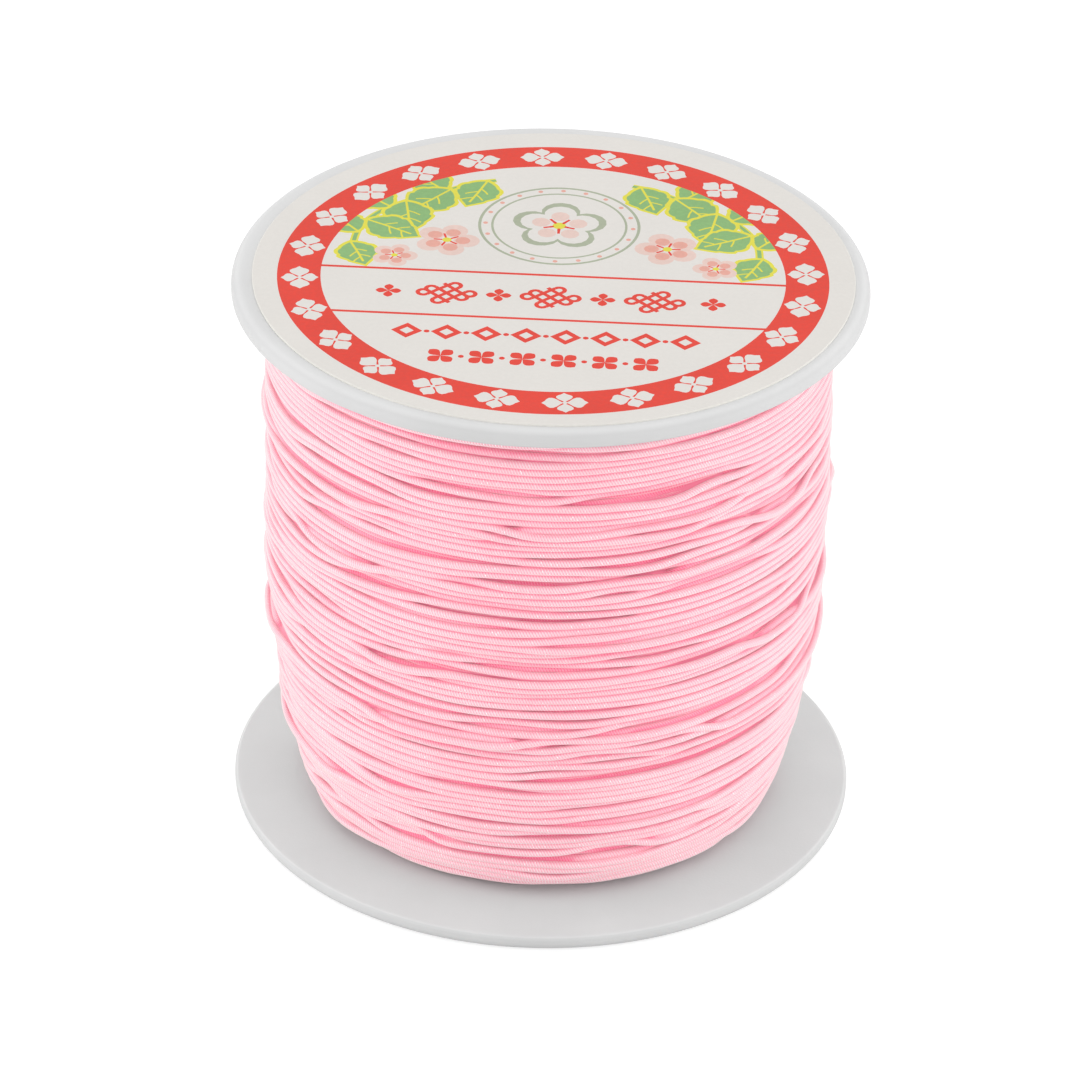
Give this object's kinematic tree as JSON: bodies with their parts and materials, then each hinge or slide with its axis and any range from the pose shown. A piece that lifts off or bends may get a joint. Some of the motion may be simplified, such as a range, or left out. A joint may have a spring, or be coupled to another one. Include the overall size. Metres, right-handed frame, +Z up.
{
  "type": "spool of knotting cord",
  "caption": "Small plastic spool with round flanges plugged into a barrel, wound full of fine pink braided cord, with a round paper label on top and a spindle bore underneath.",
  "frame": {"origin": "centre of the lower flange's outer face, on the spool's axis", "axes": "+Z up along the spool's axis; the camera of the picture looks along +Y, and the cord's ends are tucked in on the +Y side"},
  "size_m": [0.042, 0.042, 0.0397],
  "materials": {
    "spool_plastic": "moulded white plastic with a soft satin sheen",
    "cord": "braided nylon with a satin gloss",
    "label_paper": "uncoated off-white paper printed in red and soft colours"
  },
  "bodies": {
    "root": {"lower_flange": "spool_plastic", "upper_flange": "spool_plastic", "barrel": "spool_plastic", "cord_start": "cord", "winding_core": "cord", "winding_turns": "cord", "upper_label": "label_paper"}
  },
  "joints": []
}
